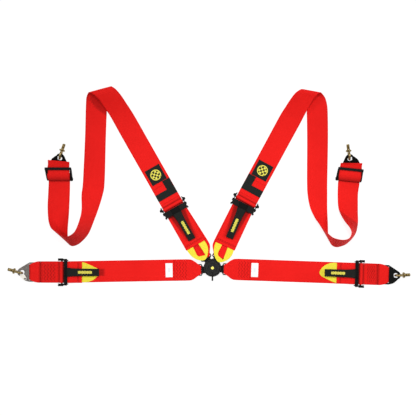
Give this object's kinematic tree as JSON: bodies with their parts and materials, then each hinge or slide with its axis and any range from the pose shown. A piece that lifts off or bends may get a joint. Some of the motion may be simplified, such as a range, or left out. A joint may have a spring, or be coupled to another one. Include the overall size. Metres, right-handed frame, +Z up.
{
  "type": "racing harness",
  "caption": "Racing harness laid flat: rotary buckle, red webbing lap and shoulder straps, tilt-lock adjusters, yellow pull loops and eye bolt anchors.",
  "frame": {"origin": "the rotary buckle's axis on the surface that the harness lies on", "axes": "+X towards the right lap strap's eye bolt, +Y towards the shoulder straps, +Z up from the surface"},
  "size_m": [1.4062, 0.7031, 0.0692],
  "materials": {
    "webbing_red": "woven polyester webbing",
    "webbing_yellow": "woven polyester tape",
    "webbing_black": "woven polyester tape",
    "buckle_black": "black anodised, satin",
    "black_steel": "black powder coat",
    "grey_steel": "dark zinc plate",
    "bare_steel": "bright zinc plate",
    "yellow_zinc": "yellow zinc plate",
    "badge_yellow": "gloss"
  },
  "bodies": {
    "buckle": {"back_plate": "bare_steel", "housing": "buckle_black", "back_screws": "bare_steel", "pin_guide_plate": "bare_steel", "return_spring": "bare_steel"},
    "release_knob": {"release_knob": "buckle_black", "knob_shaft": "bare_steel", "release_lever": "buckle_black", "knob_badge": "badge_yellow", "cam_plate": "bare_steel"},
    "latch_pins": {"latch_pins": "bare_steel"},
    "left_lap_strap": {"left_lap_tongue": "black_steel", "left_lap_buckle_strap": "webbing_red", "left_lap_pull_loop": "webbing_yellow", "left_lap_anchor_strap": "webbing_red"},
    "left_lap_adjuster": {"left_lap_webbing_turn": "webbing_red", "left_lap_adjuster_frame": "black_steel", "left_lap_pull_tab": "webbing_black"},
    "left_lap_sliding_bar": {"left_lap_sliding_bar": "black_steel"},
    "left_lap_bracket": {"left_lap_bracket": "grey_steel"},
    "left_lap_gate": {"left_lap_gate": "bare_steel"},
    "left_lap_eye_bolt": {"left_lap_eye_bolt": "yellow_zinc"},
    "right_lap_strap": {"right_lap_tongue": "black_steel", "right_lap_buckle_strap": "webbing_red", "right_lap_pull_loop": "webbing_yellow", "right_lap_anchor_strap": "webbing_red"},
    "right_lap_adjuster": {"right_lap_webbing_turn": "webbing_red", "right_lap_adjuster_frame": "black_steel", "right_lap_pull_tab": "webbing_black"},
    "right_lap_sliding_bar": {"right_lap_sliding_bar": "black_steel"},
    "right_lap_bracket": {"right_lap_bracket": "black_steel"},
    "right_lap_gate": {"right_lap_gate": "black_steel"},
    "right_lap_eye_bolt": {"right_lap_eye_bolt": "yellow_zinc"},
    "left_shoulder_strap": {"left_shoulder_tongue": "black_steel", "left_shoulder_buckle_strap": "webbing_red", "left_shoulder_pull_loop": "webbing_yellow", "left_shoulder_anchor_strap": "webbing_red", "left_shoulder_slider": "black_steel", "left_shoulder_patch": "webbing_black"},
    "left_shoulder_adjuster": {"left_shoulder_webbing_turn": "webbing_red", "left_shoulder_adjuster_frame": "black_steel", "left_shoulder_pull_tab": "webbing_black"},
    "left_shoulder_sliding_bar": {"left_shoulder_sliding_bar": "black_steel"},
    "left_shoulder_bracket": {"left_shoulder_bracket": "black_steel"},
    "left_shoulder_gate": {"left_shoulder_gate": "black_steel"},
    "left_shoulder_eye_bolt": {"left_shoulder_eye_bolt": "yellow_zinc"},
    "right_shoulder_strap": {"right_shoulder_tongue": "black_steel", "right_shoulder_buckle_strap": "webbing_red", "right_shoulder_pull_loop": "webbing_yellow", "right_shoulder_anchor_strap": "webbing_red", "right_shoulder_slider": "black_steel", "right_shoulder_patch": "webbing_black"},
    "right_shoulder_adjuster": {"right_shoulder_webbing_turn": "webbing_red", "right_shoulder_adjuster_frame": "black_steel", "right_shoulder_pull_tab": "webbing_black"},
    "right_shoulder_sliding_bar": {"right_shoulder_sliding_bar": "black_steel"},
    "right_shoulder_bracket": {"right_shoulder_bracket": "black_steel"},
    "right_shoulder_gate": {"right_shoulder_gate": "black_steel"},
    "right_shoulder_eye_bolt": {"right_shoulder_eye_bolt": "yellow_zinc"}
  },
  "joints": [
    {"name": "knob_turn", "type": "hinge", "parent": "buckle", "child": "release_knob", "pos_m": [0, 0, 0.0174], "axis": [0, 0, 1], "range_deg": [0, 45], "stiffness_Nm_per_rad": 0.15, "springref_deg": -17.19},
    {"name": "pin_drop", "type": "slide", "parent": "buckle", "child": "latch_pins", "axis": [0, 0, -1], "range_m": [0, 0.003]},
    {"name": "left_lap_release", "type": "slide", "parent": "buckle", "child": "left_lap_strap", "axis": [-0.9998, -0.0175, 0], "range_m": [0, 0.045]},
    {"name": "left_lap_adjuster_tilt", "type": "hinge", "parent": "left_lap_strap", "child": "left_lap_adjuster", "pos_m": [-0.52592, -0.01553, 0.0075], "axis": [-0.0035, -1, 0], "range_deg": [0, 35]},
    {"name": "left_lap_bar_slide", "type": "slide", "parent": "left_lap_adjuster", "child": "left_lap_sliding_bar", "axis": [1, -0.0035, 0], "range_m": [0, 0.0022]},
    {"name": "left_lap_bracket_swing", "type": "hinge", "parent": "left_lap_strap", "child": "left_lap_bracket", "pos_m": [-0.63392, -0.01516, 0.0055], "axis": [0.0035, 1, 0], "range_deg": [-10, 60]},
    {"name": "left_lap_gate_open", "type": "hinge", "parent": "left_lap_bracket", "child": "left_lap_gate", "pos_m": [-0.65412, -0.03809, 0.00941], "axis": [0.1908, -0.0007, 0.9816], "range_deg": [0, 25], "stiffness_Nm_per_rad": 0.02, "springref_deg": -11.46},
    {"name": "left_lap_eye_bolt_swing", "type": "hinge", "parent": "left_lap_bracket", "child": "left_lap_eye_bolt", "pos_m": [-0.67515, -0.01501, 0.017], "axis": [0.2419, 0.9703, 0], "range_deg": [-5, 70]},
    {"name": "right_lap_release", "type": "slide", "parent": "buckle", "child": "right_lap_strap", "axis": [0.9994, -0.0349, 0], "range_m": [0, 0.045]},
    {"name": "right_lap_adjuster_tilt", "type": "hinge", "parent": "right_lap_strap", "child": "right_lap_adjuster", "pos_m": [0.51768, -0.02128, 0.0075], "axis": [0.0349, 0.9994, 0], "range_deg": [0, 35]},
    {"name": "right_lap_bar_slide", "type": "slide", "parent": "right_lap_adjuster", "child": "right_lap_sliding_bar", "axis": [-0.9994, 0.0349, 0], "range_m": [0, 0.0022]},
    {"name": "right_lap_bracket_swing", "type": "hinge", "parent": "right_lap_strap", "child": "right_lap_bracket", "pos_m": [0.61063, -0.02452, 0.0055], "axis": [-0.0349, -0.9994, 0], "range_deg": [-10, 60]},
    {"name": "right_lap_gate_open", "type": "hinge", "parent": "right_lap_bracket", "child": "right_lap_gate", "pos_m": [0.62908, -0.04818, 0.01251], "axis": [0.3418, -0.0119, -0.9397], "range_deg": [0, 25], "stiffness_Nm_per_rad": 0.02, "springref_deg": -11.46},
    {"name": "right_lap_eye_bolt_swing", "type": "hinge", "parent": "right_lap_bracket", "child": "right_lap_eye_bolt", "pos_m": [0.65007, -0.0259, 0.017], "axis": [0.0349, -0.9994, 0], "range_deg": [-5, 70]},
    {"name": "left_shoulder_release", "type": "slide", "parent": "buckle", "child": "left_shoulder_strap", "axis": [-0.5366, 0.8439, 0], "range_m": [0, 0.045]},
    {"name": "left_shoulder_adjuster_tilt", "type": "hinge", "parent": "left_shoulder_strap", "child": "left_shoulder_adjuster", "pos_m": [-0.1376, 0.21705, 0.0075], "axis": [-0.8695, -0.4939, 0], "range_deg": [0, 35]},
    {"name": "left_shoulder_bar_slide", "type": "slide", "parent": "left_shoulder_adjuster", "child": "left_shoulder_sliding_bar", "axis": [0.4939, -0.8695, 0], "range_m": [0, 0.0022]},
    {"name": "left_shoulder_bracket_swing", "type": "hinge", "parent": "left_shoulder_strap", "child": "left_shoulder_bracket", "pos_m": [-0.5355, 0.3545, 0.0055], "axis": [0.9848, -0.1736, 0], "range_deg": [-18, 0]},
    {"name": "left_shoulder_gate_open", "type": "hinge", "parent": "left_shoulder_bracket", "child": "left_shoulder_gate", "pos_m": [-0.55481, 0.37746, 0.01251], "axis": [-0.0594, -0.3368, 0.9397], "range_deg": [0, 25], "stiffness_Nm_per_rad": 0.02, "springref_deg": -11.46},
    {"name": "left_shoulder_eye_bolt_swing", "type": "hinge", "parent": "left_shoulder_bracket", "child": "left_shoulder_eye_bolt", "pos_m": [-0.52865, 0.39337, 0.017], "axis": [0.9613, -0.2756, 0], "range_deg": [-5, 70]},
    {"name": "right_shoulder_release", "type": "slide", "parent": "buckle", "child": "right_shoulder_strap", "axis": [0.4493, 0.8934, 0], "range_m": [0, 0.045]},
    {"name": "right_shoulder_adjuster_tilt", "type": "hinge", "parent": "right_shoulder_strap", "child": "right_shoulder_adjuster", "pos_m": [0.11656, 0.23129, 0.0075], "axis": [-0.8796, 0.4756, 0], "range_deg": [0, 35]},
    {"name": "right_shoulder_bar_slide", "type": "slide", "parent": "right_shoulder_adjuster", "child": "right_shoulder_sliding_bar", "axis": [-0.4756, -0.8796, 0], "range_m": [0, 0.0022]},
    {"name": "right_shoulder_bracket_swing", "type": "hinge", "parent": "right_shoulder_strap", "child": "right_shoulder_bracket", "pos_m": [0.48294, 0.35195, 0.0055], "axis": [0.9848, 0.1736, 0], "range_deg": [-18, 0]},
    {"name": "right_shoulder_gate_open", "type": "hinge", "parent": "right_shoulder_bracket", "child": "right_shoulder_gate", "pos_m": [0.50225, 0.37489, 0.01258], "axis": [-0.06, 0.3401, -0.9385], "range_deg": [0, 25], "stiffness_Nm_per_rad": 0.02, "springref_deg": -11.46},
    {"name": "right_shoulder_eye_bolt_swing", "type": "hinge", "parent": "right_shoulder_bracket", "child": "right_shoulder_eye_bolt", "pos_m": [0.4761, 0.39077, 0.017], "axis": [0.9969, 0.0785, 0], "range_deg": [-5, 70]}
  ],
  "couplings": [
    {"joint": "pin_drop", "follows": "knob_turn", "m_per_rad": 0.003815}
  ]
}
